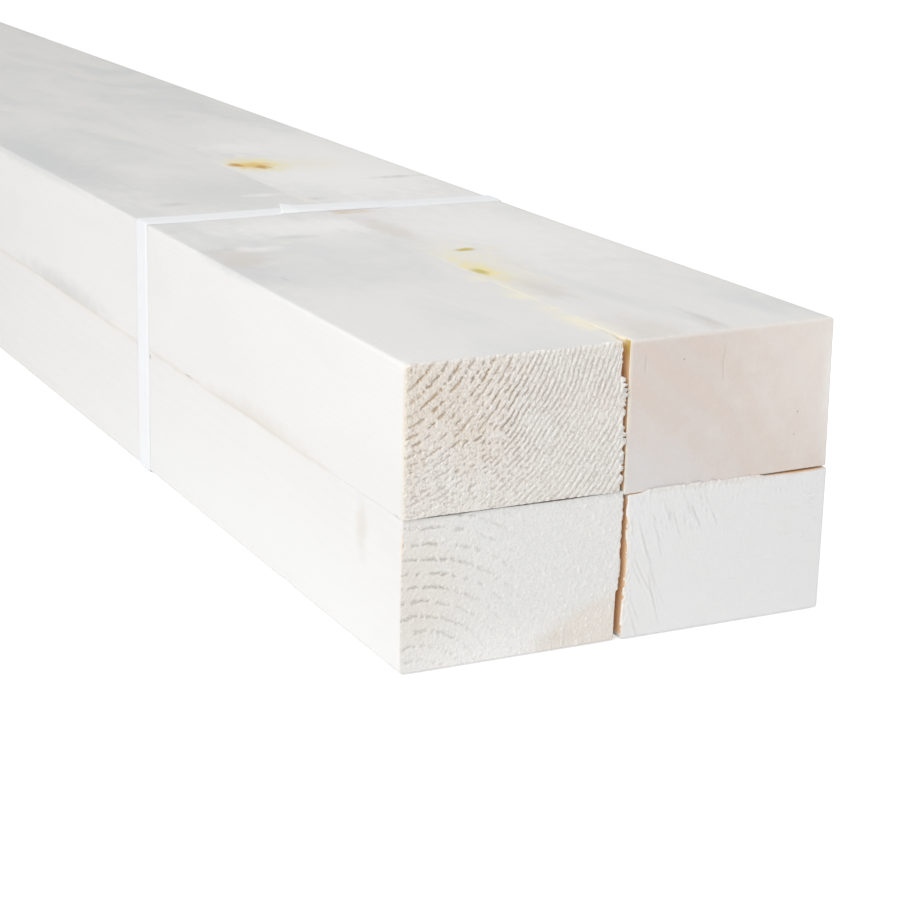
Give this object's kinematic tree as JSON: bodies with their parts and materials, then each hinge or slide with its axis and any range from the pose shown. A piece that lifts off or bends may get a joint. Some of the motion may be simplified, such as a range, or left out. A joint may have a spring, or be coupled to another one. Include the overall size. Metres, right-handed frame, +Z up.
{
  "type": "bundle of pine studs",
  "caption": "Strapped bundle of planed pine wall studs, stacked side by side in layers, sawn square at the ends and bound by flat white plastic straps.",
  "frame": {"origin": "middle of the bundle's footprint, on the floor under the straps", "axes": "+Y along the studs, away from the end that the picture shows; +X to the right seen from that end; +Z up"},
  "size_m": [0.1424, 2.4012, 0.0926],
  "materials": {
    "pine": "matte",
    "strap_plastic": "satin"
  },
  "bodies": {
    "root": {"stud_top_left": "pine", "stud_top_right": "pine", "stud_bottom_left": "pine", "stud_bottom_right": "pine", "strap_front": "strap_plastic", "strap_rear": "strap_plastic"}
  },
  "joints": []
}
